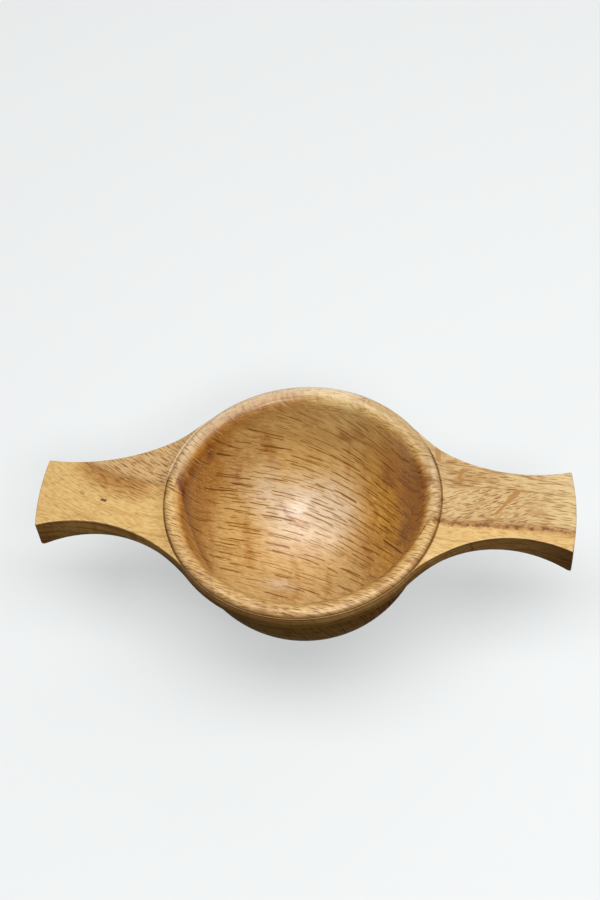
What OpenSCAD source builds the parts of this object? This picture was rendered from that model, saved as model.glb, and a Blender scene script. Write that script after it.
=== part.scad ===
// Quaich: a shallow-lugged drinking bowl of oak, turned on a lathe and then sawn to its outline.
// All sizes are in millimetres. The bowl stands on z = 0 with its axis on the z axis,
// and its two lugs lie along x.

/* [Bowl] */
// Outside radius of the round bowl
bowl_out_r = 45.5; // [38:0.5:56]
// Thickness of the bowl's wall
wall = 4; // [3:0.25:5]
// Height of the bowl's inside floor above the table
floor_h = 7; // [6:0.25:12]
// Height of the rim's crest above the table
rim_h = 61; // [56:0.5:70]

/* [Foot] */
// Radius of the foot
foot_r = 20; // [14:0.5:26]
// Height of the foot
foot_h = 4; // [3:0.25:5]
// Radius of the hollow turned under the foot
hollow_r = 15.5; // [8:0.5:18]
// Depth of the hollow turned under the foot
hollow_d = 1.4; // [0.5:0.1:2]

/* [Rim] */
// How far the rim stands out past the bowl's outside
rim_overhang = 5.6; // [4.5:0.1:8]
// Radius of the rim's outer round
rim_out_round = 2.4; // [1.8:0.1:3]
// Radius of the round that rolls from the rim's crest into the bowl
rim_in_round = 5; // [4:0.25:6]

/* [Shoulder] */
// Height of the shoulder under the rim
shoulder_h = 5.7; // [4:0.1:7]
// Radius of the cove between the bowl and the shoulder
cove_r = 3.5; // [2:0.25:5]
// Half width of the turned groove around the rim
groove_w = 0.4; // [0.3:0.05:0.8]

/* [Lugs] */
// Length from the end of one lug to the end of the other
span = 200; // [180:1:240]
// How far the lugs' tops lie below the rim's crest
lug_drop = 3; // [2.4:0.1:4]
// How far the lugs' tops sweep up to the groove
lip_rise = 1.3; // [0.9:0.1:1.8]
// Radius of that sweep
lip_r = 10; // [6:0.5:16]
// Radius of the crown that the lugs' tops follow outward
crown_r = 312; // [220:4:500]
// Thickness of a lug at its end
tip_t = 14.6; // [10:0.2:18]
// Radius of the sweep under the lugs
sweep_r = 174; // [120:2:260]
// Depth of each lug's straight root inside the shoulder's radius
root_depth = 4; // [3:0.25:5]
// How far the lugs' centre line lies behind the bowl's centre
lug_offset = 1.2; // [0:0.1:3]
// Distance of the left lug's waist from the bowl's axis
left_waist_x = 85.3; // [76:0.1:92]
// Width of the left lug at its waist
left_waist_w = 26.7; // [20:0.1:36]
// Distance of the right lug's waist from the bowl's axis
right_waist_x = 79.8; // [76:0.1:92]
// Width of the right lug at its waist
right_waist_w = 28.2; // [20:0.1:36]

/* [Hidden] */
$fn = 180;

// Depth by which two neighbouring curves run into each other, so that they cross cleanly
bite = 0.05;
// Room by which a cutting shape passes the faces that it cuts
past = 1;

end_r = span / 2;
bowl_in_r = bowl_out_r - wall;
rim_r = bowl_out_r + rim_overhang;
crest_r = rim_r - rim_out_round;
shoulder_r = rim_r + groove_w;
groove_out_r = shoulder_r + groove_w;
root_x = shoulder_r - root_depth;

// Heights of the pieces' faces
shoulder_top = rim_h - rim_out_round;
shoulder_base = shoulder_top - shoulder_h;
lug_top = rim_h - lug_drop;
lip_top = lug_top + lip_rise;

// Centres of the bowl's inside and outside rounds, and of the rim's inner round
in_c = floor_h + bowl_in_r;
out_c = foot_h + sqrt(pow(bowl_out_r, 2) - pow(foot_r, 2));
roll_c = rim_h - rim_in_round;

// Slope of the straight throat that runs from the bowl's round inside to the rim's inner round
throat_in_r = bowl_in_r - bite;
throat_rim_r = rim_in_round - bite;
throat_reach = norm([crest_r, in_c - roll_c]);
throat_a = asin((throat_in_r + throat_rim_r) / throat_reach) - atan2(in_c - roll_c, crest_r);
throat_base = [throat_in_r * sin(throat_a), in_c - throat_in_r * cos(throat_a)];
throat_end = throat_base + (rim_h + past - throat_base[1]) * [1 / tan(throat_a), 1];
roll_base = roll_c + throat_rim_r * cos(throat_a);

// Radius of the round hollow under the foot, from its depth and its width
hollow_round = (pow(hollow_r, 2) + pow(hollow_d, 2)) / (2 * hollow_d);

// Where the sweep at the lug's root runs out into the lug's crowned top
lip_foot_r = groove_out_r + sqrt(pow(lip_r, 2) - pow(lip_r - lip_rise, 2));
tip_top = lug_top - crown_r + sqrt(pow(crown_r, 2) - pow(end_r - lip_foot_r, 2));
tip_base = tip_top - tip_t;

// Centre of the sweep under the lugs, which joins the shoulder's lower edge to the lug's end
sweep_a = [shoulder_r, shoulder_base];
sweep_b = [end_r, tip_base];
sweep_half = norm(sweep_b - sweep_a) / 2;
sweep_dir = (sweep_b - sweep_a) / (2 * sweep_half);
sweep_c = (sweep_a + sweep_b) / 2
    + sqrt(pow(sweep_r, 2) - pow(sweep_half, 2)) * [sweep_dir[1], -sweep_dir[0]];

// Radius of the sawn flank that runs from a lug's waist into the shoulder's circle
function flank_r(x, w) = let (r = shoulder_r - bite)
    (pow(x, 2) + pow(w, 2) - pow(r, 2)) / (2 * (r - w));
// Centre of that flank on the far side (side = 1) or the near side (side = -1)
function flank_c(x, w, side) = [x, side * (w + flank_r(x, w))];

// A band of the turned section between two heights
module band(low, high) {
    translate([0, low])
        square([end_r, high - low]);
}

// The hollow inside of the bowl in section: round floor, straight throat and rolled mouth
module inside_section() {
    translate([0, in_c])
        circle(bowl_in_r);
    polygon([[0, throat_base[1]], throat_base, throat_end, [0, throat_end[1]]]);
    difference() {
        translate([0, roll_base])
            square([crest_r, throat_end[1] - roll_base]);
        translate([crest_r, roll_c])
            circle(rim_in_round);
    }
}

// The foot in section, with its hollow underneath
module foot_section() {
    difference() {
        square([foot_r, foot_h]);
        translate([0, hollow_d - hollow_round])
            circle(hollow_round);
    }
}

// The bowl in section, from the foot up to the shoulder, with the cove at its top
module bowl_section() {
    difference() {
        intersection() {
            union() {
                translate([0, out_c])
                    circle(bowl_out_r);
                translate([0, out_c])
                    square([bowl_out_r, rim_h]);
                cove_section();
            }
            band(foot_h, shoulder_base);
        }
        inside_section();
    }
}

module cove_section() {
    difference() {
        translate([bowl_in_r, shoulder_base - cove_r])
            square([wall + cove_r, cove_r]);
        translate([bowl_out_r + cove_r, shoulder_base - cove_r])
            circle(cove_r);
    }
}

// The rim in section: a bead with a tight outer round and a wide inner one
module rim_section() {
    difference() {
        intersection() {
            union() {
                translate([0, shoulder_top])
                    square([crest_r, rim_out_round]);
                translate([crest_r, shoulder_top])
                    circle(rim_out_round);
            }
            band(shoulder_top, rim_h);
        }
        inside_section();
    }
}

// The turned plate in section, of which the shoulder and the lugs are cut
module plate_section() {
    difference() {
        band(tip_base, lip_top);
        inside_section();
        groove_cut();
        crown_cut();
        sweep_cut();
    }
}

// What is turned away above the shoulder: the rim's seat, the groove, and the sweep beside it
module groove_cut() {
    polygon([
        [0, shoulder_top], [shoulder_r, shoulder_top], [groove_out_r, lip_top],
        [groove_out_r, rim_h], [0, rim_h]
    ]);
    translate([lip_foot_r, lug_top + lip_r])
        circle(lip_r);
}

// What is turned away above the lug's crowned top
module crown_cut() {
    difference() {
        translate([lip_foot_r, tip_top])
            square([end_r, lip_top - tip_top + past]);
        translate([lip_foot_r, lug_top - crown_r])
            circle(crown_r);
    }
}

// What is turned away under the shoulder and under the lug's sweep
module sweep_cut() {
    translate([0, tip_base - past])
        square([shoulder_r, shoulder_base - tip_base + past]);
    intersection() {
        translate(sweep_c)
            circle(sweep_r);
        translate([shoulder_r, tip_base - past])
            square([end_r, shoulder_top - tip_base + past]);
    }
}

// The plate's sawn outline on one side, with its waist at x and its width there
module lug_plan(x, w) {
    far_w = w / 2 + lug_offset;
    near_w = w / 2 - lug_offset;
    far_c = flank_c(x, far_w, 1);
    near_c = flank_c(x, near_w, -1);
    difference() {
        intersection() {
            circle(end_r);
            polygon([[0, 0], near_c, [end_r + past, near_c[1]], [end_r + past, far_c[1]], far_c]);
        }
        translate(far_c)
            circle(flank_r(x, far_w));
        translate(near_c)
            circle(flank_r(x, near_w));
    }
}

module right_plan() {
    lug_plan(right_waist_x, right_waist_w);
}

module left_plan() {
    mirror([1, 0])
        lug_plan(left_waist_x, left_waist_w);
}

// The turned plate cut to a plan
module sawn_plate() {
    intersection() {
        rotate_extrude()
            plate_section();
        linear_extrude(rim_h)
            children();
    }
}

module foot() {
    color("peru")
        rotate_extrude()
            foot_section();
}

module bowl() {
    color("burlywood")
        rotate_extrude()
            bowl_section();
}

module shoulder() {
    color("tan")
        sawn_plate()
            intersection() {
                union() {
                    circle(shoulder_r);
                    right_plan();
                    left_plan();
                }
                square([2 * root_x, span], center = true);
            }
}

module rim() {
    color("wheat")
        rotate_extrude()
            rim_section();
}

module lug_left() {
    color("burlywood")
        sawn_plate()
            intersection() {
                left_plan();
                translate([-root_x - span, -span / 2])
                    square([span, span]);
            }
}

module lug_right() {
    color("burlywood")
        sawn_plate()
            intersection() {
                right_plan();
                translate([root_x, -span / 2])
                    square([span, span]);
            }
}

foot();
bowl();
shoulder();
rim();
lug_left();
lug_right();
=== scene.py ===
# %% [markdown]
# # An oak quaich
# A quaich is a shallow drinking bowl with two flat lugs to hold it by. This one is turned from a
# single block of oak: the bowl, the rolled rim and the lugs' tops come off the lathe, and the lugs
# are then sawn out of the turned plate. We load the measured solids first and keep their box,
# because the dressed pieces must not grow past it.

# %% Load the measured solids
import math
import bpy
from mathutils import Matrix, Vector


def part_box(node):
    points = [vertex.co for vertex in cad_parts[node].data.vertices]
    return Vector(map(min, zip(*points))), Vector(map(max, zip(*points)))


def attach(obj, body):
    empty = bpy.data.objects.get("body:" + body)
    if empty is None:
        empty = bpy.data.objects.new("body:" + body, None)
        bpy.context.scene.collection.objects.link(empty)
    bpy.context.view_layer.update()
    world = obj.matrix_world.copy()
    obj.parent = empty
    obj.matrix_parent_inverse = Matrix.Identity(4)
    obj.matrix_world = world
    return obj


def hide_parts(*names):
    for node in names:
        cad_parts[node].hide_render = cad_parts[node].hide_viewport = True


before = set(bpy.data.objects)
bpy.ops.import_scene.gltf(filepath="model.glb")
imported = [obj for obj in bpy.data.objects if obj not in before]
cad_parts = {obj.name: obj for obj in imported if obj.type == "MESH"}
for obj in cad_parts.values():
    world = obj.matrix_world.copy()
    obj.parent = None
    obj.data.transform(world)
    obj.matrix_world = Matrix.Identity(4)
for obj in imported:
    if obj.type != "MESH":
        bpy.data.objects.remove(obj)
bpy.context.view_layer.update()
MM = 0.001
print("solids:", sorted(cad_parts))

# %% [markdown]
# ## Sizes
# Every piece is drawn in millimetres and turned into metres at the last moment. What can be read
# from the solids is read from them, so a piece always meets its neighbours. The radii of the
# rounds can't be read from a box, so they are written here once.

# %% Sizes in millimetres
rim_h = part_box("rim")[1].z / MM
seat_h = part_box("rim")[0].z / MM
plate_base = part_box("bowl")[1].z / MM
foot_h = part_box("foot")[1].z / MM
foot_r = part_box("foot")[1].y / MM
shoulder_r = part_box("shoulder")[1].y / MM
end_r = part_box("lug_right")[1].x / MM
rim_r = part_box("rim")[1].y / MM

bowl_in_r = 41.5
bowl_out_r = 45.5
floor_h = 7.0
rim_in_round = 5.0
cove_r = 3.5
rim_out_round = rim_h - seat_h
crest_r = rim_r - rim_out_round
in_c = floor_h + bowl_in_r
out_c = foot_h + math.sqrt(bowl_out_r ** 2 - foot_r ** 2)
roll_c = rim_h - rim_in_round
print(f"rim {rim_h:.1f} high, shoulder radius {shoulder_r:.1f}, lugs end at {end_r:.1f}")

# %% [markdown]
# ## Drawing a section and turning it
# A lathe makes everything round about one axis, and so does Blender's spin. For each turned piece
# we draw half of its section as a line of points, by extruding one vertex from place to place, and
# then spin the line a full turn. At the end the seam is merged and the faces are turned outward. A
# boolean of spheres would also work, but a drawn section gives the rolled rim and the cove exactly
# the rounds that the turner cut.

# %% Lines of a section


def arc(centre, radius, start, stop, count):
    """Points on an arc in the section; angles in degrees from outward, counting upward."""
    angles = [start + (stop - start) * i / count for i in range(count + 1)]
    return [(centre[0] + radius * math.cos(math.radians(a)),
             centre[1] + radius * math.sin(math.radians(a))) for a in angles]


def straight(start, stop, count):
    """Points on a straight line of the section."""
    return [(start[0] + (stop[0] - start[0]) * i / count,
             start[1] + (stop[1] - start[1]) * i / count) for i in range(count + 1)]


print("an arc with 4 steps has", len(arc((0, 0), 1, 0, 90, 4)), "points")

# %% Turn a section
TURN_STEPS = 240
MERGE = 1e-7  # points closer than this, in metres, become one
SHARP = math.radians(28)  # edges that turn more than this stay crisp


def close_up(name):
    """Merge what meets, turn the faces outward and smooth all but the real edges."""
    bpy.ops.mesh.select_all(action="SELECT")
    bpy.ops.mesh.remove_doubles(threshold=MERGE)
    bpy.ops.mesh.normals_make_consistent(inside=False)
    bpy.ops.object.mode_set(mode="OBJECT")
    piece = bpy.context.active_object
    piece.name = name
    piece.data.name = name
    bpy.ops.object.shade_smooth_by_angle(angle=SHARP)
    print(name, len(piece.data.polygons), "faces")
    return piece


def turned(name, section):
    """Draw a closed section point by point and spin it round the axis."""
    bpy.ops.object.select_all(action="DESELECT")
    bpy.ops.mesh.primitive_plane_add(size=1 * MM)
    bpy.ops.object.mode_set(mode="EDIT")
    bpy.ops.mesh.select_all(action="SELECT")
    bpy.ops.mesh.merge(type="CENTER")
    here = section[0]
    bpy.ops.transform.translate(value=(here[0] * MM, 0, here[1] * MM))
    for r, z in section[1:] + section[:1]:
        step = ((r - here[0]) * MM, 0, (z - here[1]) * MM)
        here = (r, z)
        if math.hypot(step[0], step[2]) > MERGE:
            bpy.ops.mesh.extrude_region_move(TRANSFORM_OT_translate={"value": step})
    bpy.ops.mesh.select_all(action="SELECT")
    bpy.ops.mesh.remove_doubles(threshold=MERGE)
    bpy.ops.mesh.spin(steps=TURN_STEPS, angle=math.tau, center=(0, 0, 0), axis=(0, 0, 1))
    return close_up(name)


print("a turned piece has", TURN_STEPS, "steps round")

# %% [markdown]
# ## The throat
# Between the round floor and the rolled rim the inside runs straight for a while. That straight
# stretch touches both rounds, so its slope follows from their radii and centres. We work it out
# once, because the bowl and the shoulder both show a part of it.

# %% The slope of the throat
reach = math.hypot(crest_r, in_c - roll_c)
throat = math.asin((bowl_in_r + rim_in_round) / reach) - math.atan2(in_c - roll_c, crest_r)
throat_low = (bowl_in_r * math.sin(throat), in_c - bowl_in_r * math.cos(throat))
throat_high = (crest_r - rim_in_round * math.sin(throat), roll_c + rim_in_round * math.cos(throat))


def throat_at(z):
    """The throat's radius at a height, on its straight stretch."""
    return throat_low[0] + (z - throat_low[1]) / math.tan(throat)


roll_seat = 180 - math.degrees(math.asin((seat_h - roll_c) / rim_in_round))
print(f"throat slopes {math.degrees(throat):.1f} degrees,",
      f"from {throat_low[1]:.1f} to {throat_high[1]:.1f}")

# %% [markdown]
# ## Foot
# The foot is a low disc with a shallow hollow under it, so that it stands on a ring and doesn't
# rock. Its lower edge is broken with a small round, as sandpaper leaves it.

# %% Turn the foot
foot_edge = 0.8
hollow_r = 15.5
hollow_d = 1.4
hollow_round = (hollow_r ** 2 + hollow_d ** 2) / (2 * hollow_d)
hollow_a = math.degrees(math.asin(hollow_r / hollow_round))
foot = turned("foot_turned",
              [(0, foot_h), (foot_r, foot_h)]
              + arc((foot_r - foot_edge, foot_edge), foot_edge, 0, -90, 6)
              + arc((0, hollow_d - hollow_round), hollow_round, 90 - hollow_a, 90, 12))

# %% [markdown]
# ## Bowl
# The bowl is a round cup: a sphere inside, a slightly larger one outside with a lower centre, and
# a cove where it meets the shoulder. The section is drawn from the middle of the floor, up the
# inside, across the top and down the outside.

# %% Turn the bowl
bowl_foot_a = math.degrees(math.asin((foot_h - out_c) / bowl_out_r))
bowl = turned("bowl_turned",
              arc((0, in_c), bowl_in_r, -90, math.degrees(throat) - 90, 44)
              + straight(throat_low, (throat_at(plate_base), plate_base), 5)
              + arc((bowl_out_r + cove_r, plate_base - cove_r), cove_r, 90, 180, 10)
              + straight((bowl_out_r, plate_base - cove_r), (bowl_out_r, out_c), 2)
              + arc((0, out_c), bowl_out_r, 0, bowl_foot_a, 36)
              + [(0, foot_h)])

# %% [markdown]
# ## Rim
# The rim is a bead: a tight round outside, where lips touch it, and a wider one that rolls into
# the bowl. It sits on the shoulder's flat top.

# %% Turn the rim
rim = turned("rim_turned",
             arc((crest_r, roll_c), rim_in_round, roll_seat, 90, 18)
             + arc((crest_r, seat_h), rim_out_round, 90, 0, 18))

# %% [markdown]
# ## Shoulder
# Under the rim the turned plate stands out past the bowl as a ring. Its upper and lower edges are
# eased a little, and its inside carries the throat.

# %% Turn the shoulder
ease = 0.25  # sanded round of the shoulder's edges
groove_z = seat_h + 0.5  # where the groove's outer wall starts
under_rim_r = rim_r - 0.2
throat_roll = 90 + math.degrees(throat)
shoulder = turned("shoulder_turned",
                  straight((throat_at(plate_base), plate_base), throat_high, 3)
                  + arc((crest_r, roll_c), rim_in_round, throat_roll, roll_seat, 6)
                  + [(under_rim_r, seat_h)]
                  + arc((shoulder_r - ease, groove_z - ease), ease, 90, 0, 4)
                  + arc((shoulder_r - ease, plate_base + ease), ease, 0, -90, 4))

# %% [markdown]
# ## Curves of the lugs
# A lug's top and underside are turned, so each follows a curve of the radius alone: the top leaves
# the groove in a small sweep and then follows a wide crown, and the underside is one long hollow
# sweep. Its flanks are sawn along arcs that run into the shoulder's circle. As functions they give
# the height or the angle at any radius.

# %% Top of the lugs
lug_top = 58.0
lip_top = 59.3
lip_round = 10.0
lip_r = shoulder_r + 0.2
lip_foot_r = lip_r + math.sqrt(lip_round ** 2 - (lip_round - lip_top + lug_top) ** 2)
crown_round = 312.0


def top_at(r):
    """Height of the lug's top at a radius: groove, sweep and crown."""
    if r <= lip_r:
        return groove_z + (lip_top - groove_z) * (r - shoulder_r) / (lip_r - shoulder_r)
    if r <= lip_foot_r:
        return lug_top + lip_round - math.sqrt(lip_round ** 2 - (lip_foot_r - r) ** 2)
    return lug_top - crown_round + math.sqrt(crown_round ** 2 - (r - lip_foot_r) ** 2)


print(f"top falls from {lip_top:.1f} at the groove to {top_at(end_r):.1f} at the end")

# %% Underside of the lugs
TIP = 1.8  # round of the worn lower edge at the end
tip_t = 14.6
sweep_round = 174.0
sweep_from = Vector((shoulder_r, plate_base))
sweep_to = Vector((end_r, top_at(end_r) - tip_t))
sweep_mid = (sweep_from + sweep_to) / 2
sweep_half = (sweep_to - sweep_from).length / 2
sweep_dir = (sweep_to - sweep_from).normalized()
sweep_out = Vector((sweep_dir.y, -sweep_dir.x))
sweep_c = sweep_mid + math.sqrt(sweep_round ** 2 - sweep_half ** 2) * sweep_out


def base_at(r):
    """Height of the lug's underside at a radius, with the worn lower edge at its end."""
    past = max(0.0, r - end_r + TIP)
    swept = sweep_c.y + math.sqrt(sweep_round ** 2 - (r - sweep_c.x) ** 2)
    return swept + TIP - math.sqrt(TIP ** 2 - past ** 2)


print(f"underside from {plate_base:.1f} at the root to {base_at(end_r):.1f} at the end")

# %% Sawn flanks
BITE = 0.05  # how far a flank's arc runs into the shoulder's circle


def flank_angle(r, waist_x, half_w):
    """Angle from the lug's line at which the sawn flank crosses the circle of a radius."""
    near_r = shoulder_r - BITE
    saw_r = (waist_x ** 2 + half_w ** 2 - near_r ** 2) / (2 * (near_r - half_w))
    saw_far = math.hypot(waist_x, half_w + saw_r)
    bearing = math.atan2(half_w + saw_r, waist_x)
    share = (r * r + saw_far * saw_far - saw_r * saw_r) / (2 * r * saw_far)
    return bearing - math.acos(min(1.0, share))


RIGHT_WAIST = (79.8, 28.2)  # distance from the axis, and width
LEFT_WAIST = (85.3, 26.7)
print("waists are", RIGHT_WAIST[1], "and", LEFT_WAIST[1], "wide")

# %% [markdown]
# ## Lugs
# We make a lug like a sleeve: a flat grid is rolled up so that each of its rows becomes one
# section of the lug, on a circle about the bowl's axis. The rows are close together at the lip and
# at the end, where the shape turns quickly, and the sleeve is closed at both ends. Cutting a
# turned plate with booleans would give the same outline, but the sleeve keeps clean rows of quads
# and lets every edge have its sanded round.

# %% Rows of a lug
EDGE = 0.5  # sanded round of the upper edges
LIP_ROWS, TOP_ROWS, TIP_ROWS = 10, 44, 5
top_end_r = end_r - TIP
lug_rows = [(shoulder_r, 0.0), (shoulder_r + 0.1, 0.0), (lip_r - 0.04, 0.0), (lip_r + 0.06, 0.0)]
lug_rows += [(lip_r + (lip_foot_r - lip_r) * (i / LIP_ROWS) ** 1.2, 0.0)
             for i in range(2, LIP_ROWS + 1)]
lug_rows += [(lip_foot_r + (top_end_r - lip_foot_r) * i / TOP_ROWS, 0.0)
             for i in range(1, TOP_ROWS + 1)]
lug_rows += [(top_end_r + (TIP - EDGE) * i / TIP_ROWS, 0.0) for i in range(1, TIP_ROWS + 1)]
lug_rows += [(end_r - EDGE + EDGE * math.sin(a), EDGE * (1 - math.cos(a)))
             for a in (math.radians(d) for d in (22, 45, 68, 90))]
print("rows of a lug:", len(lug_rows))

# %% Section of a lug
ACROSS, CORNER, UPRIGHT = 36, 5, 8  # steps along the top, round a corner and up a side


def section_loop():
    """One trip round a unit section: across and up (-1 to 1), and how far out at a corner."""
    quarter = [math.radians(90 * i / CORNER) for i in range(CORNER + 1)]
    loop = [(-1 + 2 * i / ACROSS, 1, 0, 1) for i in range(1, ACROSS)]
    loop += [(1, 1, math.sin(a), math.cos(a)) for a in quarter]
    loop += [(1, 1 - 2 * i / UPRIGHT, 1, 0) for i in range(1, UPRIGHT)]
    loop += [(1, -1, math.cos(a), math.sin(a)) for a in quarter]
    loop += [(1 - 2 * i / ACROSS, -1, 0, 1) for i in range(1, ACROSS)]
    loop += [(-1, -1, math.sin(a), math.cos(a)) for a in quarter]
    loop += [(-1, -1 + 2 * i / UPRIGHT, 1, 0) for i in range(1, UPRIGHT)]
    loop += [(-1, 1, math.cos(a), math.sin(a)) for a in quarter]
    return loop


def cornered(share, half, soft, out):
    """A place along one side of the section; its ends go out round the corner."""
    inner = share * (half - soft)
    return inner + math.copysign(soft * out, share) if abs(share) == 1 else inner


print("points round a section:", len(section_loop()))

# %% Roll the grid into a lug
LOWER = 2.2  # the lower edges are rounder by this factor
EASE_IN = 4  # the rounds grow over this length from the root
LUG_OFFSET = 1.2  # the lugs lie this far behind the bowl's centre


def lug(name, side, waist):
    """A lug on the right (side 1) or the left (side -1)."""
    waist_x, half_w = waist[0], waist[1] / 2
    loop = section_loop()
    rows = [lug_rows[0]] + lug_rows + [lug_rows[-1]]
    last = len(rows) - 1
    bpy.ops.object.select_all(action="DESELECT")
    bpy.ops.mesh.primitive_grid_add(x_subdivisions=last, y_subdivisions=len(loop), size=1)
    piece = bpy.context.active_object
    for v in piece.data.vertices:
        row = round((v.co.x + 0.5) * last)
        u, w, out_side, out_up = loop[round((v.co.y + 0.5) * len(loop)) % len(loop)]
        r, inset = rows[row]
        far = flank_angle(r, waist_x, half_w + LUG_OFFSET) * r - inset
        near = -flank_angle(r, waist_x, half_w - LUG_OFFSET) * r + inset
        top, base = top_at(r) - inset, base_at(r)
        soft = (EDGE - inset) * min(1.0, max(0.0, (r - shoulder_r) / EASE_IN))
        soft *= 1.0 if w > 0 else LOWER
        along = (far + near) / 2 + cornered(u, (far - near) / 2, soft, out_side)
        lift = 0.0 if row in (0, last) else cornered(w, (top - base) / 2, soft, out_up)
        angle = along / r
        spot = (side * r * math.cos(angle), r * math.sin(angle), (top + base) / 2 + lift)
        v.co = Vector(spot) * MM
    bpy.ops.object.mode_set(mode="EDIT")
    return close_up(name)


lug_right = lug("lug_right_sawn", 1, RIGHT_WAIST)
lug_left = lug("lug_left_sawn", -1, LEFT_WAIST)

# %% [markdown]
# ## Oak: writing a pattern as sums
# The quaich is one piece of wood, so its grain has to run on from piece to piece, inside and out.
# A picture wrapped round each piece would break at every seam. We use a solid pattern instead: a
# sum of the point's own coordinates says what the wood is like there, as if the shape had been cut
# from it. Each sum is a Math node, and the small class below lets us write them as formulas.

# %% Sums as nodes
oak = bpy.data.materials.new("oiled_oak")
oak.use_nodes = True
tree = oak.node_tree


def feed(socket, value):
    """Give a socket a number, a colour or another node's result."""
    if isinstance(value, Wire):
        tree.links.new(value.socket, socket)
    elif isinstance(value, tuple):
        socket.default_value = (*value, 1)
    else:
        socket.default_value = value


def sums(operation, *values, clamp=False):
    """One Math node."""
    box = tree.nodes.new("ShaderNodeMath")
    box.operation = operation
    box.use_clamp = clamp
    for socket, value in zip(box.inputs, values):
        feed(socket, value)
    return Wire(box.outputs[0])


class Wire:
    """A node's result that can be added, multiplied and so on."""

    def __init__(self, socket):
        self.socket = socket

    def __add__(self, other):
        return sums("ADD", self, other)

    def __radd__(self, other):
        return sums("ADD", other, self)

    def __sub__(self, other):
        return sums("SUBTRACT", self, other)

    def __rsub__(self, other):
        return sums("SUBTRACT", other, self)

    def __mul__(self, other):
        return sums("MULTIPLY", self, other)

    def __rmul__(self, other):
        return sums("MULTIPLY", other, self)

    def __truediv__(self, other):
        return sums("DIVIDE", self, other)


def so_far(made):
    """Say what was made, and how many nodes the oak has by now."""
    print(f"{made}: {len(tree.nodes)} nodes so far")


so_far("new oak")

# %% [markdown]
# Squares and roots give distances, and a smooth step from 0 to 1 turns a distance into a mark with
# a soft edge. Noise gives what no formula would.

# %% Small sums


def square(value):
    return value * value


def root(value):
    return sums("SQRT", value)


def size_of(value):
    return sums("ABSOLUTE", value)


def rise(value, low, high):
    """0 below low, 1 above high and smooth between; falls where low is the larger."""
    box = tree.nodes.new("ShaderNodeMapRange")
    box.interpolation_type = "SMOOTHSTEP"
    feed(box.inputs[0], value)
    box.inputs[1].default_value, box.inputs[2].default_value = min(low, high), max(low, high)
    box.inputs[3].default_value, box.inputs[4].default_value = (1, 0) if low > high else (0, 1)
    return Wire(box.outputs[0])


def within(value, start, full, still, stop):
    """1 from full to still, fading to 0 at start and at stop."""
    return rise(value, start, full) * rise(value, stop, still)


print("small sums ready")

# %% Places and noise


def joined(x, y, z):
    """One place from three coordinates."""
    box = tree.nodes.new("ShaderNodeCombineXYZ")
    for socket, value in zip(box.inputs, (x, y, z)):
        feed(socket, value)
    return Wire(box.outputs[0])


def parted(vector):
    """Three coordinates from one place."""
    box = tree.nodes.new("ShaderNodeSeparateXYZ")
    feed(box.inputs[0], vector)
    return [Wire(out) for out in box.outputs]


def cloud(vector, detail=2.0, rough=0.5):
    """Smooth noise about 0, between about -0.5 and 0.5."""
    box = tree.nodes.new("ShaderNodeTexNoise")
    feed(box.inputs["Vector"], vector)
    feed(box.inputs["Scale"], 1)
    feed(box.inputs["Detail"], detail)
    feed(box.inputs["Roughness"], rough)
    return Wire(box.outputs[0]) - 0.5


print("noise ready")

# %% [markdown]
# Wood is coloured in two ways. Oil and dirt sink in and darken what is there, which is a product
# of two colours, and wear or another kind of wood replaces it, which is a mix. Both are Mix nodes.

# %% Laying colours


def mixture(blend, first, second, amount):
    """One Mix node for colours."""
    box = tree.nodes.new("ShaderNodeMix")
    box.data_type = "RGBA"
    box.blend_type = blend
    feed(box.inputs[0], amount)
    feed(box.inputs[6], first)
    feed(box.inputs[7], second)
    return Wire(box.outputs[2])


def stain(colour, tint, amount):
    """Multiply a colour by a tint, as much as amount says."""
    return mixture("MULTIPLY", colour, tint, amount)


def between(first, second, amount):
    """A colour between two others."""
    return mixture("MIX", first, second, amount)


print("colours ready")

# %% [markdown]
# ## Oak: the run of the grain
# Inside the bowl the dark pore strokes lie along curves that sink towards the right. They show
# where the turner cut through the tree's growth layers. We describe those layers as shells:
# `depth` says how far into them a point lies, and the strokes follow places of equal depth. Two
# other coordinates go with it: along the fibres, and through the block. A slow noise bends them a
# little. `spread` says how fast the depth changes along the surface itself, so that a stroke stays
# as thin where the surface lies flat on a layer as where it cuts across it.

# %% Coordinates in the wood
place = tree.nodes.new("ShaderNodeTexCoord")
scaled = tree.nodes.new("ShaderNodeVectorMath")
scaled.operation = "SCALE"
tree.links.new(place.outputs["Object"], scaled.inputs[0])
feed(scaled.inputs["Scale"], 1 / MM)
X, Y, Z = parted(Wire(scaled.outputs[0]))
nx, ny, nz = parted(Wire(place.outputs["Normal"]))
slow = cloud(joined(X * 0.022, Y * 0.04, Z * 0.04))
quick = cloud(joined(X * 0.12, Y * 0.3, Z * 0.3))
bent_y = Y + 2.5 * slow + 0.45 * quick
bent_z = Z - 2.5 * slow + 0.3 * quick
so_far("bent coordinates")

# %% Shells of growth
SHELL = 50  # size of the shells in mm
sx, sy, sz = X / SHELL, bent_y / SHELL, (bent_z - 40) / SHELL
off_y = sy - 0.88 + 0.073 * sx
off_z = sz - 0.893
shell = root(0.96 * square(off_y) + 0.56 * square(off_z) - 0.47 * sx + 0.12 * square(sx) + 0.3)
depth = SHELL * shell
through = 0.6 * bent_z - 0.77 * bent_y
slope_x = (0.24 * sx + 0.14 * off_y - 0.47) / shell / 2
slope_y = 0.96 * off_y / shell
slope_z = 0.56 * off_z / shell
facing = slope_x * nx + slope_y * ny + slope_z * nz
steep = square(slope_x) + square(slope_y) + square(slope_z) - square(facing)
spread = root(sums("MAXIMUM", steep, 0.01))
so_far("shells of growth")

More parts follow.
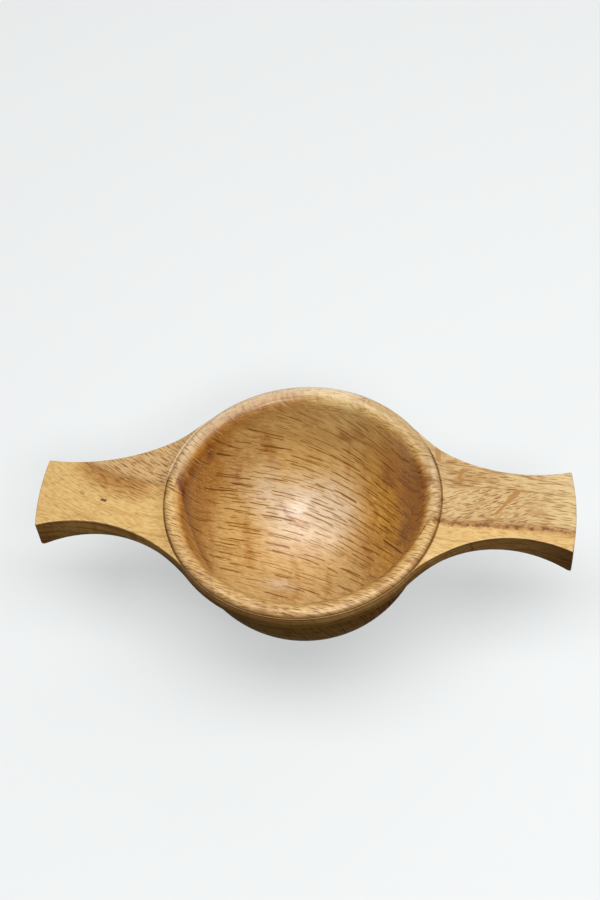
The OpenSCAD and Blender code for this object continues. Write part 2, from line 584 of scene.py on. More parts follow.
# %% [markdown]
# ## Oak: pores as single strokes
# Oak has large open pores, which a cut along the fibres shows as short dark strokes. A noise would
# smear them, so each stroke is drawn: a Voronoi texture scatters points in the wood's coordinates,
# and around each point we draw one long thin ellipse. The cell's own random colour drops some of
# them and makes others fainter. Oil creeps from a pore into the wood beside it, so each stroke
# comes as a pair: the pore, and a wider and softer one for the oily wood.

# %% Scatter strokes
OILY = 2.4  # the oily wood is wider than its pore by this factor


def strokes(along, across, deep, cell, reach, keep, seed):
    """Strokes along one coordinate, and the oily wood beside them; sizes in mm."""
    points = tree.nodes.new("ShaderNodeTexVoronoi")
    feed(points.inputs["Scale"], 1)
    feed(points.inputs["Randomness"], 1)
    spot = joined(along / cell[0] + seed, across / cell[1], deep / cell[2])
    feed(points.inputs["Vector"], spot)
    centre = parted(Wire(points.outputs["Position"]))
    split = tree.nodes.new("ShaderNodeSeparateColor")
    tree.links.new(points.outputs["Color"], split.inputs[0])
    chance, strength = Wire(split.outputs[0]), Wire(split.outputs[1])
    far = [(h - c) * (gap / half) for h, c, gap, half in zip(parted(spot), centre, cell, reach)]
    off_line = far[1] / spread
    ellipse = root(square(far[0]) + square(off_line))
    wide_ellipse = root(square(far[0]) + square(off_line / OILY))
    shown = rise(chance, keep + 0.03, keep - 0.03) * (0.4 + 0.6 * strength)
    return rise(ellipse, 1.0, 0.4) * shown, rise(wide_ellipse, 1.0, 0.15) * shown


scattered = strokes(X, depth, through, cell=(17.0, 3.2, 13.0), reach=(7.0, 0.27),
                    keep=0.45, seed=0.0)
short = strokes(X, depth, through, cell=(5.0, 0.85, 5.0), reach=(2.2, 0.26), keep=0.92, seed=5.3)
fine = strokes(X, depth, through, cell=(6.5, 0.75, 6.0), reach=(2.8, 0.2), keep=0.88, seed=9.1)
so_far("strokes of three sizes")

# %% [markdown]
# ## Oak: pores in rows
# In the bowl the largest pores stand in rows, one row to each year's growth, and look like broken
# lines. Scattered points can't show that order. So we cut the depth into rows, cut each row into
# lengths, and let a White Noise texture throw a dice for every length: whether it is there, how
# long it is, and how far it leaves the middle of its row. Between the rows lie hair-thin fibres,
# and for those a noise stretched along the grain is enough.

# %% Throw dice


def whole(value):
    return sums("FLOOR", value)


def dice(x, y, z):
    """Three even random numbers for each set of whole numbers."""
    noise = tree.nodes.new("ShaderNodeTexWhiteNoise")
    feed(noise.inputs["Vector"], joined(x, y, z))
    split = tree.nodes.new("ShaderNodeSeparateColor")
    tree.links.new(noise.outputs["Color"], split.inputs[0])
    return [Wire(out) for out in split.outputs][:3]


print("dice ready")

# %% Draw broken lines


def dashes(gap, length, half, keep, seed):
    """Broken lines on growth layers, gap apart; length and half width of a dash in mm."""
    uneven = cloud(joined(depth * (0.35 / gap) + seed, through * 0.02, X * 0.01), 1.0)
    count = depth / gap + 1.6 * uneven + seed
    row = whole(count)
    along = X / length + 9 * dice(row, seed, 0.0)[0]
    cell = whole(along)
    chance, lift, reach = dice(row, cell, seed)
    off_row = size_of(count - row - 0.5 - 0.5 * (lift - 0.5)) * gap
    off_end = size_of(along - cell - 0.5)
    off_line = off_row / spread
    shown = rise(off_end - 0.3 * reach, 0.2, 0.1) * rise(chance, keep + 0.03, keep - 0.03)
    shown = shown * (0.6 + 0.4 * lift)
    core = half * 0.35
    return rise(off_line, half, core) * shown, rise(off_line, half * OILY, core) * shown


bold = dashes(gap=2.3, length=15.0, half=0.30, keep=0.66, seed=0.4)
runs = dashes(gap=1.5, length=10.0, half=0.23, keep=0.52, seed=3.7)
hair = cloud(joined(X * 0.22, depth * 2.2, through * 0.4), 3.0, 0.7)
so_far("rows of pores and fibres")

# %% [markdown]
# ## Oak: the pores of the right lug and of the rim's far side
# On the right lug the cut met the layers at a low angle. The strokes there are short, crowded and
# wavy, and between two rings they slant the other way. On the far side of the rim they bend round
# with the bead. These three kinds use the same helper, with other coordinates to run along.

# %% Draw the wavy and the curved pores
wave = cloud(joined(X * 0.09, Y * 0.2, Z * 0.2))
slant_y = Y - 0.42 * X + 3.5 * wave
slant_x = X + 0.42 * Y
wavy = strokes(slant_x, slant_y, Z, cell=(5.4, 0.9, 6.0), reach=(2.3, 0.31), keep=0.92, seed=1.9)
level_y = Y + 0.04 * X + 1.2 * wave
level = strokes(X, level_y, Z, cell=(6.8, 0.85, 6.0), reach=(3.0, 0.27), keep=0.84, seed=4.4)
bead_y = Y + 0.5 * Z + 0.009 * square(X) + 2 * wave
curved = strokes(X, bead_y, Z, cell=(6.0, 0.9, 6.0), reach=(2.6, 0.3), keep=0.85, seed=7.7)
so_far("wavy, level and curved strokes")

# %% [markdown]
# ## Oak: where things are
# Much of the pattern belongs to one place: a lug, the bead, a wall of the bowl. We name these
# places once, as values that are 1 there and 0 elsewhere, and use them as masks from here on.
# Painting a mask by hand would need a picture; a place in millimetres does not.

# %% Places on the quaich
radius = root(square(X) + square(Y))
in_bowl = rise(radius, 47.5, 44.0)
on_right = rise(X, 32.0, 46.0)
on_left = rise(X, -32.0, -48.0)
upper = rise(Z, 50.0, 53.0)
in_middle = within(Y, -8.5, -6.5, 6.5, 8.5) * rise(X, 90.0, 80.0)
bead = within(radius, 43.0, 45.0, 51.0, 51.3)
shaded_near_bead = bead * rise(Y, -5.0, -25.0)
far_bead = within(radius, 42.5, 44.5, 51.0, 51.3) * rise(Y, 18.0, 34.0)
far_right = rise(X, -8.0, 10.0) * rise(Y, 10.0, 25.0)
crest_highlight = rise(size_of(radius - 49.0), 2.2, 0.4) * upper
shaded_side_walls = in_bowl * rise(size_of(X), 20.0, 40.0) * rise(Z, 22.0, 44.0)
so_far("places")

# %% [markdown]
# ## Oak: sapwood and heartwood
# The near strips of both lugs are sapwood, the younger and paler wood under the bark. The rest is
# heartwood. The border between them curves over the quaich, and inside the left wall it dips as a
# pale wedge. `inward` is the distance from that border in millimetres, roughened by noise, so that
# one value gives the two woods, the line between them and the stains beside it.

# %% Border between sapwood and heartwood
ragged = cloud(joined(X * 0.5, Y * 0.5, Z * 0.25), 3.0, 0.6)
wander = cloud(joined(X * 0.06, Y * 0.06, Z * 0.06))
right_bend = sums("MINIMUM", sums("MAXIMUM", X, -57.0) - 60, 0.0)
left_bend = sums("MINIMUM", X + 57, 0.0)
inside = sums("MAXIMUM", 48.8 - radius, 0.0)
border_y = 0.00094 * square(right_bend) + 0.0126 * square(left_bend) - 1.2 * square(inside) - 8.3
border_y = border_y + 4.0 * within(radius, 47.2, 48.6, 50.2, 51.4) * rise(X, -30.0, -44.0)
below_rim = Z - 57.4
wedge_y = 0.62 * sums("MINIMUM", below_rim, 0.0) + 2.3 * sums("MAXIMUM", below_rim, 0.0) - 4.0
wedge = rise(X, -27.0, -35.0) * rise(radius, 48.0, 47.0)
border_y = border_y + (wedge_y - border_y) * wedge
inward = Y - border_y + 1.1 * ragged + 1.6 * wander
heart = rise(inward, -1.0, 1.0)
right_top = on_right * heart
so_far("border of the sapwood")

# %% [markdown]
# ## Oak: rings beside the border
# On the right lug the border shows as a dark ragged ring, with a brown band along it. Thin growth
# rings run beside it as fine lines. On the left lug a mustard stain lies along the border instead,
# and inside the left wall a wide brown seam, partly the dark border and partly painted shade under
# the bead. All but the thin lines are read from the same distance, so they stay parallel as rings
# do in a real plank.

# %% Rings, seam and mustard stain
broken = cloud(joined(X * 0.35, Y * 0.35, 0.0), 2.0, 0.6)
ring = rise(size_of(inward + 2.6 * ragged), 1.5, 0.25) * on_right * rise(broken, -0.12, 0.12)
ring_band = within(inward, -2.0, 0.0, 0.5, 3.5) * on_right
# the seam: the dark border, and painted shade under the bead beside it
seam_and_shade = within(inward + 1.5 * ragged, -2.5, 0.5, 1.0, 11.0) * wedge
mustard = rise(inward + 6 * hair, -12.0, -1.0) * rise(inward, 4.0, 0.0) * on_left
mustard = mustard * (0.4 + 0.6 * rise(X, -54.0, -64.0)) * rise(X, -92.0, -80.0)


def ring_line(y_at_50, slant, width):
    """A growth ring seen as a thin line along the right lug's top."""
    off = Y - y_at_50 - slant * (X - 50) + 0.8 * ragged
    return rise(size_of(off), width, width * 0.3) * on_right


thin_rings = ring_line(8.8, -0.037, 0.35) * 0.6 + ring_line(18.6, -0.145, 0.4) * 0.5
thin_rings = thin_rings + ring_line(-15.2, -0.06, 0.3) * 0.6
so_far("rings, seam and stain")

# %% [markdown]
# ## Oak: ray flecks, knots and blotches
# Where a ray of the tree breaks the surface it shows as a smooth tan fleck. The right lug has
# three, and the left one has two small dark knots. The bowl's wall has soft brown blotches. A
# fleck or a knot is drawn by its distance from a short line, and a blotch by its distance from a
# point.

# %% Draw flecks and knots


def fleck(start, stop, width):
    """1 on a short line between two places in plan, 0 beyond its width."""
    along = (stop[0] - start[0], stop[1] - start[1])
    length2 = along[0] ** 2 + along[1] ** 2
    share = (X - start[0]) * (along[0] / length2) + (Y - start[1]) * (along[1] / length2)
    t = sums("ADD", share, 0.0, clamp=True)
    dx, dy = X - start[0] - along[0] * t, Y - start[1] - along[1] * t
    return rise(root(square(dx) + square(dy)) + 0.8 * ragged, width, width * 0.55)


rays = fleck((49.2, 19.0), (48.6, 26.0), 1.3) + fleck((58.4, 15.5), (57.0, 11.8), 0.9)
rays = rays + fleck((78.7, 7.1), (75.3, 2.6), 1.25) + fleck((75.3, 2.6), (70.9, -3.2), 0.75)
knots = fleck((-74.8, -3.0), (-73.6, -3.4), 0.8) + 0.4 * fleck((-83.5, 0.3), (-82.5, -0.4), 0.8)
so_far("flecks and knots")

# %% Draw blotches


def blotch(x, y, z, wide, tall):
    """A soft brown patch around a place in the bowl's wall."""
    off = square((X - x) / wide) + square((Y - y) / wide) + square((Z - z) / tall)
    return rise(root(off) + 1.1 * ragged, 1.25, 0.2)


far_marks = blotch(12.4, 39.4, 43.8, 4.2, 3.0) + 0.7 * blotch(17.5, 38.3, 48.0, 4.0, 2.6)
right_marks = blotch(29.8, 26.0, 35.8, 5.0, 5.5) + 0.9 * blotch(37.2, 5.0, 30.8, 6.0, 6.5)
left_marks = blotch(-37.6, 21.6, 53.4, 3.0, 4.0) + 0.9 * blotch(-42.8, 11.2, 57.8, 3.6, 4.6)
faint_marks = blotch(-29.6, 25.5, 34.5, 1.5, 2.4) + 0.5 * blotch(-44.5, 6.0, 56.5, 3.5, 4.5)
blotches = far_marks + right_marks + left_marks + faint_marks
so_far("blotches")

# %% [markdown]
# ## Oak: the ground colour
# Now the colours are put together, from large to small. A turner sees honey-coloured wood, a
# little redder in the heart, with slow bands across the plank and darker flames where the cut runs
# along a layer. Multiplying stains over one ground, as dyes do, keeps all of these in one family
# of browns.

# %% Ground colour and its slow changes
SAP = (0.65, 0.43, 0.16)
LUG_HEART = (0.575, 0.40, 0.185)
BOWL_HEART = (0.625, 0.415, 0.152)
bands = cloud(joined(X * 0.05, Y * 0.16, Z * 0.1), 2.0, 0.5)
warm = cloud(joined(X * 0.06, depth * 0.05, through * 0.06), 4.0, 0.6)
flame = cloud(joined(X * 0.17 + 1.0 * warm, depth * 0.03, through * 0.05), 3.0, 0.6)
layer = cloud(joined(X * 0.008, depth * 0.35, through * 0.02), 2.0, 0.5)
warm_spots = rise(warm, -0.05, 0.3) * (0.1 + 0.7 * heart * in_bowl)
flames = rise(flame, 0.0, 0.22) * heart * (0.4 + 0.5 * in_bowl)
colour = between(SAP, between(LUG_HEART, BOWL_HEART, in_bowl), heart)
colour = stain(colour, (0.86, 0.79, 0.68), rise(bands, 0.0, 0.25) * 0.6)
colour = stain(colour, (0.66, 0.52, 0.36), warm_spots)
colour = stain(colour, (0.78, 0.63, 0.44), flames)
colour = stain(colour, (0.82, 0.73, 0.60), rise(layer, 0.0, 0.25) * 0.6)
colour = stain(colour, (0.82, 0.68, 0.62), heart * on_left * 0.45)
so_far("ground colour")

# %% [markdown]
# ## Oak: inside the bowl
# Painted shade makes the steep side walls a deeper orange, and more of it darkens the right wall,
# which also shows dark layer lines and pale marks of the turning tool. Two pale patches on the
# floor are a painted sheen, with a faint brown loop beside the larger one.

# %% Marks on the wall and the floor
lines = cloud(joined(X * 0.03, depth * 1.3, through * 0.04), 2.0, 0.6)
layer_lines = in_bowl * rise(X, 14.0, 30.0) * rise(lines, 0.02, 0.2)
tool = cloud(joined(X * 0.05, Y * 0.05, Z * 2.0), 1.0)
tool_marks = in_bowl * rise(X, 22.0, 34.0) * rise(tool, 0.1, 0.2)
# painted sheen: two pale patches on the floor stand in for the lamps' reflection
large_sheen_patch = root(square((X + 1) / 31) + square((Y - 23) / 13))
small_sheen_patch = root(square((X + 11) / 14) + square((Y + 8) / 8))
painted_sheen = rise(sums("MINIMUM", large_sheen_patch, small_sheen_patch + 0.5) + 0.9 * warm, 1.2, 0.2)
painted_sheen = painted_sheen * in_bowl * rise(X, 24.0, 10.0)
off_loop = root(square(X + 4.5) + square(Y - 28.5)) - 9.8 + 5.0 * ragged
loop = rise(size_of(off_loop), 1.6, 0.2) * rise(Y, 28.0, 23.0) * rise(X, 3.0, -6.0)
loop = loop * rise(Z, 24.0, 18.0)
so_far("marks in the bowl")

# %% Colour the bowl's inside
# painted shade: the steep side walls become a deeper orange
colour = stain(colour, (0.75, 0.51, 0.11), shaded_side_walls)
# painted shade: the right wall is darker still
colour = stain(colour, (0.93, 0.74, 0.20), in_bowl * rise(X, 14.0, 34.0))
colour = stain(colour, (0.56, 0.40, 0.24), blotches * 0.85)
colour = stain(colour, (0.55, 0.40, 0.22), layer_lines)
colour = between(colour, (0.72, 0.47, 0.16), tool_marks * 0.35)
colour = stain(colour, (0.91, 0.89, 0.97), rise(Z, 22.0, 11.0) * in_bowl)
# painted sheen on the bowl's floor
colour = between(colour, (0.67, 0.57, 0.46), painted_sheen * 0.75)
colour = stain(colour, (0.66, 0.46, 0.32), loop * 0.7)
so_far("inside of the bowl")

# %% [markdown]
# ## Oak: the lugs
# The lugs are handled most, so their tops are mottled. The left one has the mustard stain and
# faint growth bands in its sapwood; the right one is patchy, and paler towards its end.

# %% Tops of the lugs
growth = cloud(joined(inward * 0.8, X * 0.01, 0.0), 1.0)
mottle = cloud(joined(X * 0.5, Y * 0.9, Z * 0.9), 3.0, 0.65)
patchy = cloud(joined(X * 0.13, Y * 0.3, Z * 0.2), 3.0, 0.55)
colour = stain(colour, (0.63, 0.47, 0.25), mustard)
colour = stain(colour, (0.86, 0.78, 0.64), rise(growth, 0.03, 0.22) * (1 - heart) * on_left)
colour = stain(colour, (0.72, 0.60, 0.42), rise(mottle, -0.02, 0.22) * (0.65 - 0.4 * in_bowl))
colour = stain(colour, (0.74, 0.60, 0.42), rise(patchy, -0.03, 0.2) * right_top)
colour = between(colour, (0.68, 0.52, 0.27), right_top * rise(X, 78.0, 98.0) * 0.5)
so_far("lugs")

# %% [markdown]
# ## Oak: the bead
# A painted highlight makes the bead's crest pale, most of all on the far side. Painted shade
# darkens the near side of the bead, and a band below the crest where the bead rolls into the bowl.
# Each change keeps to a ring of the radius and to the side that has it.

# %% Crest and roll of the bead
far_left_bead = bead * rise(X, 0.0, -8.0) * rise(Y, 18.0, 30.0)
far_right_roll = within(radius, 41.0, 45.0, 51.0, 51.3) * far_right
outer_right = within(radius, 46.5, 48.5, 51.2, 51.6) * rise(X, 12.0, 24.0) * rise(Y, 14.0, 22.0)
roll_shade = within(radius, 42.0, 44.0, 45.0, 47.0) * (1 - far_right)
# painted shade on the near side of the bead
colour = stain(colour, (0.92, 0.88, 0.82), shaded_near_bead)
colour = stain(colour, (0.80, 0.68, 0.58), far_left_bead)
colour = between(colour, (0.72, 0.56, 0.28), far_right_roll * 0.4)
# painted highlight along the bead's crest, strongest on the far side
colour = between(colour, (0.755, 0.63, 0.46), crest_highlight * (0.1 + 0.4 * rise(Y, 0.0, 30.0)))
colour = stain(colour, (0.72, 0.60, 0.42), outer_right)
# painted shade in the band where the bead rolls into the bowl
colour = stain(colour, (0.78, 0.66, 0.48), roll_shade * 0.7)
colour = stain(colour, (0.70, 0.55, 0.38), rise(flame, 0.0, 0.2) * bead * 0.7)
so_far("bead")

# %% [markdown]
# ## Oak: fibres and rings over the ground
# The fibres between the pores are hair-thin, darker and lighter, all along the grain. Over them go
# the ring, the seam of the wedge with its painted shade, painted shade on the wedge's sapwood, and
# the thin rings that were drawn before.

# %% Fibres, rings and seam
colour = stain(colour, (0.60, 0.45, 0.24), rise(hair, 0.0, 0.25) * (0.3 + 0.5 * heart))
colour = between(colour, (0.80, 0.58, 0.25), rise(hair, -0.02, -0.25) * (0.2 + 0.3 * in_bowl))
colour = stain(colour, (0.40, 0.23, 0.05), ring * upper)
colour = stain(colour, (0.74, 0.60, 0.42), ring_band * upper)
# the seam, partly painted shade
colour = stain(colour, (0.56, 0.38, 0.14), seam_and_shade)
# painted shade dims the sapwood of the wedge a little
colour = stain(colour, (0.97, 0.93, 0.76), (1 - heart) * wedge)
colour = stain(colour, (0.50, 0.35, 0.22), thin_rings * upper)
so_far("fibres and rings")

# %% [markdown]
# ## Oak: the pores' colour
# A pore is a hollow that holds dirt and oil, so it is a deep brown, never black: its blue is
# nearly gone and some red is left. The oily wood beside it is only a little yellower than the
# rest. Sapwood pores are pale, so the strokes almost vanish there.

# %% Where the pores are open
open_pores = 0.3 + 0.7 * heart + 0.6 * rise(radius, 51.2, 50.8) + 0.7 * mustard
open_pores = sums("MINIMUM", open_pores, 1.0)
plain_side = open_pores * (1 - far_bead)
bowl_side = plain_side * in_bowl
beside_top = plain_side * (1 - right_top)
so_far("open pores")

# %% Colour the pores
OILY_WOOD = (0.97, 0.85, 0.56)


def pores(colour, kind, tint, where):
    """Colour one kind of pore, and the oily wood beside it, at a place."""
    pore, oily = kind
    return stain(stain(colour, OILY_WOOD, oily * where), tint, pore * where)


colour = pores(colour, curved, (0.42, 0.28, 0.10), far_bead)
colour = pores(colour, fine, (0.46, 0.32, 0.13), beside_top * (1 - 0.3 * in_bowl))
colour = pores(colour, bold, (0.19, 0.09, 0.012), bowl_side)
colour = pores(colour, runs, (0.33, 0.195, 0.045), bowl_side)
colour = pores(colour, scattered, (0.28, 0.16, 0.035), bowl_side)
colour = pores(colour, short, (0.22, 0.11, 0.02), beside_top * (1 - in_bowl))
colour = pores(colour, wavy, (0.30, 0.18, 0.045), in_middle * right_top)
colour = pores(colour, level, (0.36, 0.23, 0.065), (1 - in_middle) * right_top)
so_far("coloured pores")

# %% [markdown]
# ## Oak: flecks and the groove
# The ray flecks and the knots go on top, because they interrupt the grain. Then the groove round
# the bead is darkened, except where the far lug edges meet it: there painted light makes it paler.
# Painted shade darkens the bead's outer edge on the near side.

# %% Flecks and groove
groove = rise(size_of(radius - 51.3), 0.35, 0.1) * within(Z, 57.6, 58.4, 59.2, 59.6)
# painted light: where the far lug edges meet the groove, its darkening is left out and it is made
# paler
groove_light_left = 0.85 * rise(Y, 5.0, 11.0) * rise(X, -15.0, -28.0)
groove_light_right = 0.7 * rise(Y, 20.0, 28.0) * rise(X, 15.0, 28.0)
groove_light = groove_light_left + groove_light_right
shaded_near_edge = within(radius, 50.3, 51.1, 51.2, 51.4) * rise(Y, 0.0, -20.0)
painted_groove_light = rise(size_of(radius - 51.4), 0.7, 0.3) * groove_light * upper
colour = between(colour, (0.36, 0.17, 0.03), sums("MINIMUM", rays, 1.0) * upper * 0.95)
colour = stain(colour, (0.20, 0.11, 0.05), knots * upper)
# painted shade on the bead's outer edge, near side
colour = stain(colour, (0.52, 0.42, 0.30), shaded_near_edge)
colour = stain(colour, (0.50, 0.38, 0.26), groove * (1 - groove_light))
# painted light in the groove
colour = between(colour, (0.92, 0.74, 0.46), painted_groove_light * 0.5)
so_far("flecks and groove")

# %% [markdown]
# ## Oak: oiled finish
# Several coats of oil give a soft sheen: a clear coat with some roughness over wood that is
# rougher in its pores. The pores are also hollow, so a bump lowers them and lifts the fibres.
# Constants such as the coat go straight on the shader; only what changes from place to place is
# wired.

# %% Oiled finish
bold_hollow, run_hollow, fine_hollow = bold[0], runs[0], fine[0]
oiled = tree.nodes["Principled BSDF"]
feed(oiled.inputs["Base Color"], colour)
feed(oiled.inputs["Roughness"], 0.4 + 0.18 * bold_hollow + 0.1 * fine_hollow + 0.12 * hair)
feed(oiled.inputs["Specular IOR Level"], 0.2)
feed(oiled.inputs["Coat Weight"], 0.65)
feed(oiled.inputs["Coat Roughness"], 0.26)
bump = tree.nodes.new("ShaderNodeBump")
feed(bump.inputs["Strength"], 0.35)
feed(bump.inputs["Distance"], 0.3 * MM)
bowl_hollow = in_bowl * (bold_hollow + 0.7 * run_hollow)
feed(bump.inputs["Height"], 0.5 * hair - 0.5 * fine_hollow - bowl_hollow)
tree.links.new(bump.outputs["Normal"], oiled.inputs["Normal"])
so_far("oiled oak")

# %% [markdown]
# ## Oak: dull finish with painted shade
# The sawn flanks, the undersides and the bowl's outside show more end grain, which soaks up oil:
# they are streaked and dull, and darker, partly from the oil and partly from painted shade. This
# finish is a copy of the first, so the grain runs on over the edge, with other constants and more
# stains. It gets darker towards the lugs' ends, and painted shade darkens the right side, the
# bowl's outside and the wood under the shoulder. From here on `tree` is the copy's, so the same
# helpers add to the copy.

# %% Copy the oiled oak
dull_shaded = oak.copy()
dull_shaded.name = "dull_shaded_oak"
tree = dull_shaded.node_tree
dull = tree.nodes["Principled BSDF"]
feed(dull.inputs["Specular IOR Level"], 0.03)
feed(dull.inputs["Coat Weight"], 0.0)
oiled_colour = Wire(dull.inputs["Base Color"].links[0].from_socket)
oiled_roughness = Wire(dull.inputs["Roughness"].links[0].from_socket)
feed(dull.inputs["Roughness"], oiled_roughness + 0.3)
so_far("copied oak")

# %% Soak the end grain
spot = tree.nodes.new("ShaderNodeTexCoord")
streaked = tree.nodes.new("ShaderNodeVectorMath")
streaked.operation = "MULTIPLY"
streaked.inputs[1].default_value = (0.04 / MM, 0.04 / MM, 0.8 / MM)
tree.links.new(spot.outputs["Object"], streaked.inputs[0])
streak = cloud(Wire(streaked.outputs[0]), 3.0, 0.6)
out_x, out_y, out_z = parted(Wire(spot.outputs["Object"]))
out_r = root(square(out_x) + square(out_y))
# painted shade under the shoulder's edge
shade_under_shoulder = rise(out_z, 57.8 * MM, 54 * MM) * rise(size_of(out_x), 52 * MM, 46 * MM)
shade_under_shoulder = shade_under_shoulder * rise(out_r, 48 * MM, 50 * MM)
# darker all over: partly the oil in the end grain, partly painted shade
soaked_and_shaded = stain(oiled_colour, (0.77, 0.68, 0.58), 1.0)
soaked_and_shaded = stain(soaked_and_shaded, (0.50, 0.43, 0.36), rise(streak, -0.05, 0.18))
# painted shade: the right side is darker
soaked_and_shaded = stain(soaked_and_shaded, (0.64, 0.61, 0.62), rise(out_x, 45 * MM, 55 * MM))
soaked_and_shaded = stain(soaked_and_shaded, (0.60, 0.52, 0.46), rise(size_of(out_x), 80 * MM, 98 * MM))
# painted shade on the bowl's outside below the shoulder
soaked_and_shaded = stain(soaked_and_shaded, (0.57, 0.585, 0.47), rise(out_r, 49 * MM, 47 * MM))
soaked_and_shaded = stain(soaked_and_shaded, (0.56, 0.49, 0.42), shade_under_shoulder)
feed(dull.inputs["Base Color"], soaked_and_shaded)
so_far("rubbed oak")

# %% [markdown]
# ## Which face gets which finish
# The inside, the rim and the lugs' tops are oiled, and the rest gets the dull finish with its
# painted shade. Which is which follows from the way a face points, so we select faces by their
# normals and assign the second material to them, as one would do by hand in edit mode.

# %% Tell the dull, shaded faces


def outward(centre, normal):
    """How much a face points away from the bowl's axis."""
    return (centre.x * normal.x + centre.y * normal.y) / max(math.hypot(centre.x, centre.y), 1e-9)


def turned_outside(centre, normal):
    """The outside and the underside of a turned piece."""
    return (normal.z < 0.3 and outward(centre, normal) > -1e-6) or normal.z < -0.3


def sawn_side(centre, normal):
    """The flanks, the end and the underside of a lug."""
    return normal.z < 0.5 and outward(centre, normal) > -0.5


print("tests for rubbed faces ready")

# %% Assign the finishes


def two_finishes(piece, is_dull_shaded):
    """Give a piece both finishes, and the dull, shaded one to the faces that the test picks."""
    piece.data.materials.append(oak)
    piece.data.materials.append(dull_shaded)
    bpy.ops.object.select_all(action="DESELECT")
    bpy.context.view_layer.objects.active = piece
    bpy.ops.object.mode_set(mode="EDIT")
    bpy.ops.mesh.select_mode(type="FACE")
    bpy.ops.mesh.select_all(action="DESELECT")
    bpy.ops.object.mode_set(mode="OBJECT")
    picked = [is_dull_shaded(face.center, face.normal) for face in piece.data.polygons]
    piece.data.polygons.foreach_set("select", picked)
    bpy.ops.object.mode_set(mode="EDIT")
    piece.active_material_index = 1
    bpy.ops.object.material_slot_assign()
    bpy.ops.object.mode_set(mode="OBJECT")
    print(piece.name, sum(picked), "rubbed faces of", len(picked))


for piece in (foot, bowl, shoulder):
    two_finishes(piece, turned_outside)
for piece in (lug_left, lug_right):
    two_finishes(piece, sawn_side)
rim.data.materials.append(oak)

# %% [markdown]
# ## Pieces on the frame
# The solids are for measuring and for contact, and these pieces are for looking at. Each one
# replaces its solid and rides on the one rigid body that the quaich is.

# %% Dress the frame
pairs = {"foot": foot, "bowl": bowl, "rim": rim, "shoulder": shoulder,
         "lug_left": lug_left, "lug_right": lug_right}
for node, piece in pairs.items():
    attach(piece, "root")
    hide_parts(node)
print("dressed:", ", ".join(pairs))

# %% [markdown]
# ## Floor
# The quaich stands on a wide pale floor. A floor that is pale enough to look white would throw a
# lot of light up under the bowl, which a studio table doesn't. So the floor has two faces: rays
# that show it to us see a pale sheet that also glows a little, and all other rays see dark grey.
# The shadow stays, because half of what we see is lit by the lamps.

# %% Rays that show the background


def seen_directly(nodes):
    """1 for rays that show the background: from the camera, off gloss or through glass."""
    path = nodes.nodes.new("ShaderNodeLightPath")
    total = path.outputs["Is Camera Ray"]
    for name in ("Is Glossy Ray", "Is Transmission Ray"):
        either = nodes.nodes.new("ShaderNodeMath")
        either.operation = "MAXIMUM"
        nodes.links.new(total, either.inputs[0])
        nodes.links.new(path.outputs[name], either.inputs[1])
        total = either.outputs[0]
    return total


def mixed(nodes, amount, first, second):
    """A shader between two others; amount is a number or a socket."""
    mix = nodes.nodes.new("ShaderNodeMixShader")
    if isinstance(amount, float):
        mix.inputs[0].default_value = amount
    else:
        nodes.links.new(amount, mix.inputs[0])
    nodes.links.new(first.outputs[0], mix.inputs[1])
    nodes.links.new(second.outputs[0], mix.inputs[2])
    return mix


print("background helpers ready")

# %% Lay the floor
FLOOR_SIZE = 12
bpy.ops.object.select_all(action="DESELECT")
bpy.ops.mesh.primitive_plane_add(size=FLOOR_SIZE)
floor = bpy.context.active_object
floor.name = "floor"
paper = bpy.data.materials.new("pale_floor")
paper.use_nodes = True
sheet = paper.node_tree
lit = sheet.nodes["Principled BSDF"]
feed(lit.inputs["Base Color"], (0.74, 0.76, 0.76))
feed(lit.inputs["Roughness"], 0.9)
feed(lit.inputs["Specular IOR Level"], 0.1)
glow = sheet.nodes.new("ShaderNodeEmission")
feed(glow.inputs["Color"], (0.9, 0.92, 0.92))
dark = sheet.nodes.new("ShaderNodeBsdfDiffuse")
feed(dark.inputs["Color"], (0.05, 0.05, 0.05))
both = mixed(sheet, seen_directly(sheet), dark, mixed(sheet, 0.5, lit, glow))
sheet.links.new(both.outputs[0], sheet.nodes["Material Output"].inputs["Surface"])
floor.data.materials.append(paper)
print("floor laid,", FLOOR_SIZE, "m wide")

# %% [markdown]
# ## Light
# Three soft boxes light the quaich, as on a small studio table. The large one overhead does most
# of it. One beside the camera draws the highlight in the bowl, and one behind keeps the far side
# from going black. The world around is nearly dark, but rays that show it see a pale room, so the
# oil has something to reflect.

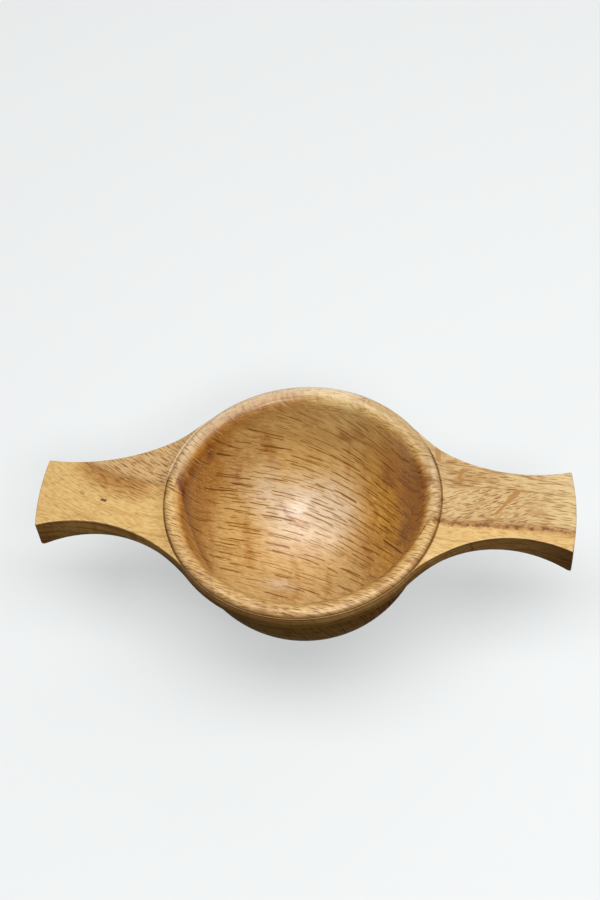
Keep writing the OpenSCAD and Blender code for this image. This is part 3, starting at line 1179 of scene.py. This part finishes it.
# %% World
world = bpy.data.worlds.new("studio")
bpy.context.scene.world = world
world.use_nodes = True
room = world.node_tree
dim = room.nodes["Background"]
feed(dim.inputs["Color"], (1.0, 1.0, 1.0))
feed(dim.inputs["Strength"], 0.03)
pale = room.nodes.new("ShaderNodeBackground")
feed(pale.inputs["Color"], (1.0, 1.0, 1.0))
feed(pale.inputs["Strength"], 0.6)
around = mixed(room, seen_directly(room), dim, pale)
room.links.new(around.outputs[0], room.nodes["World Output"].inputs["Surface"])
print("world has", len(room.nodes), "nodes")

# %% Soft boxes


def soft_box(name, place, aim, wide, high, power):
    """A rectangular lamp that faces the object; sizes in metres, power in watts."""
    bpy.ops.object.select_all(action="DESELECT")
    bpy.ops.object.light_add(type="AREA", location=place)
    lamp = bpy.context.active_object
    lamp.name = name
    lamp.data.shape = "RECTANGLE"
    lamp.data.size = wide
    lamp.data.size_y = high
    lamp.data.energy = power
    lamp.rotation_euler = (Vector(aim) - Vector(place)).to_track_quat("-Z", "Y").to_euler()
    print(name, power, "W")


soft_box("overhead", place=(0.10, 0.0, 1.1), aim=(0, 0, 0.05), wide=0.65, high=1.6, power=13.8)
soft_box("beside_camera", place=(0.28, -0.62, 0.82), aim=(0, 0, 0.04),
         wide=0.44, high=0.18, power=4.0)
soft_box("behind", place=(0.33, 1.1, 0.75), aim=(0, 0, 0.03), wide=1.3, high=0.9, power=3.6)

# %% [markdown]
# ## Camera
# The camera looks down into the bowl from in front, a little to the right, and is tilted slightly
# about its own line of sight. Its place was found by lining up the rim's ellipse and the lugs'
# ends. We build its three directions from the angles, because a plain track-to constraint has no
# tilt.

# %% Camera
aim = Vector((-5.32, 34.98, 40.0)) * MM
azimuth, elevation, tilt = math.radians(10.795), math.radians(54.067), math.radians(-6.923)
distance = 643.36 * MM
flat = math.cos(elevation)
back = Vector((math.sin(azimuth) * flat, -math.cos(azimuth) * flat, math.sin(elevation)))
sideways = Vector((math.cos(azimuth), math.sin(azimuth), 0))
right = sideways * math.cos(tilt) + sideways.cross(-back) * math.sin(tilt)
up = back.cross(right)
turn = Matrix((right, up, back)).transposed().to_4x4()
bpy.ops.object.select_all(action="DESELECT")
bpy.ops.object.camera_add()
camera = bpy.context.active_object
camera.matrix_world = Matrix.Translation(aim + back * distance) @ turn
camera.data.sensor_width = 36
camera.data.lens = 66.07
camera.data.clip_start = 0.01
bpy.context.scene.camera = camera
bpy.context.scene.view_settings.view_transform = "Standard"
print("camera", [round(v, 3) for v in camera.matrix_world.translation])
